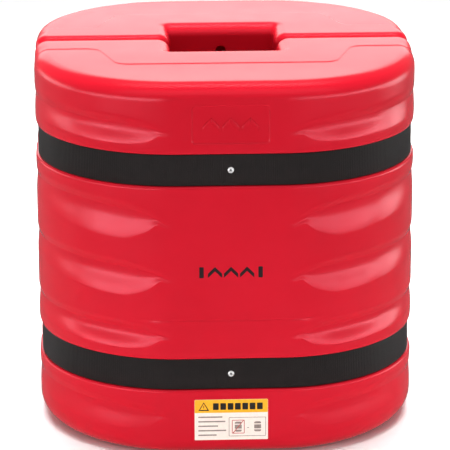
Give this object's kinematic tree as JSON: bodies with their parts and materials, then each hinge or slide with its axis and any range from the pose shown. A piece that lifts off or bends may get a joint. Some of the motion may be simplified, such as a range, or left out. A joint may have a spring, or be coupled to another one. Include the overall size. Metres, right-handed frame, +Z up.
{
  "type": "column guard",
  "caption": "Impact guard that wraps a square column: hollow moulded plastic halves closed round it by hook-and-loop straps.",
  "frame": {"origin": "on the floor, under the middle of the square column opening", "axes": "+Z up along the column, -Y out of the front half that carries the label and the rivets, +X to the right seen from the front"},
  "size_m": [0.61, 0.6102, 0.61],
  "materials": {
    "red_plastic": "satin moulded polyethylene",
    "label_film": "printed vinyl film",
    "black_ink": "printed ink",
    "black_webbing": "ribbed woven webbing",
    "loop_pile": "brushed loop pile",
    "hook_tape": "moulded hook tape",
    "rivet_aluminium": "satin",
    "mandrel_steel": "sheared steel"
  },
  "bodies": {
    "front_half": {"front_shell": "red_plastic", "information_label": "label_film", "printed_arrows": "black_ink", "upper_strap_front": "black_webbing", "lower_strap_front": "black_webbing", "upper_rivet_body": "rivet_aluminium", "upper_rivet_mandrel": "mandrel_steel", "lower_rivet_body": "rivet_aluminium", "lower_rivet_mandrel": "mandrel_steel"},
    "rear_half": {"rear_shell": "red_plastic"},
    "upper_left_arm": {"upper_strap_left_arm": "black_webbing", "upper_loop_patch": "loop_pile"},
    "upper_right_arm": {"upper_strap_right_arm": "black_webbing", "upper_hook_patch": "hook_tape"},
    "lower_left_arm": {"lower_strap_left_arm": "black_webbing", "lower_loop_patch": "loop_pile"},
    "lower_right_arm": {"lower_strap_right_arm": "black_webbing", "lower_hook_patch": "hook_tape"}
  },
  "joints": [
    {"name": "rear_half_slide", "type": "slide", "parent": "front_half", "child": "rear_half", "axis": [0, 1, 0], "range_m": [0, 0.25]},
    {"name": "upper_left_arm_swing", "type": "hinge", "parent": "front_half", "child": "upper_left_arm", "pos_m": [-0.29975, 0, 0.47], "axis": [0, 0, 1], "range_deg": [0, 72]},
    {"name": "upper_right_arm_swing", "type": "hinge", "parent": "front_half", "child": "upper_right_arm", "pos_m": [0.29975, 0, 0.47], "axis": [0, 0, -1], "range_deg": [0, 121]},
    {"name": "lower_left_arm_swing", "type": "hinge", "parent": "front_half", "child": "lower_left_arm", "pos_m": [-0.29975, 0, 0.1365], "axis": [0, 0, 1], "range_deg": [0, 72]},
    {"name": "lower_right_arm_swing", "type": "hinge", "parent": "front_half", "child": "lower_right_arm", "pos_m": [0.29975, 0, 0.1365], "axis": [0, 0, -1], "range_deg": [0, 121]}
  ],
  "couplings": [
    {"joint": "upper_left_arm_swing", "follows": "rear_half_slide", "rad_per_m": 5},
    {"joint": "upper_right_arm_swing", "follows": "rear_half_slide", "rad_per_m": 8.4},
    {"joint": "lower_left_arm_swing", "follows": "rear_half_slide", "rad_per_m": 5},
    {"joint": "lower_right_arm_swing", "follows": "rear_half_slide", "rad_per_m": 8.4}
  ]
}
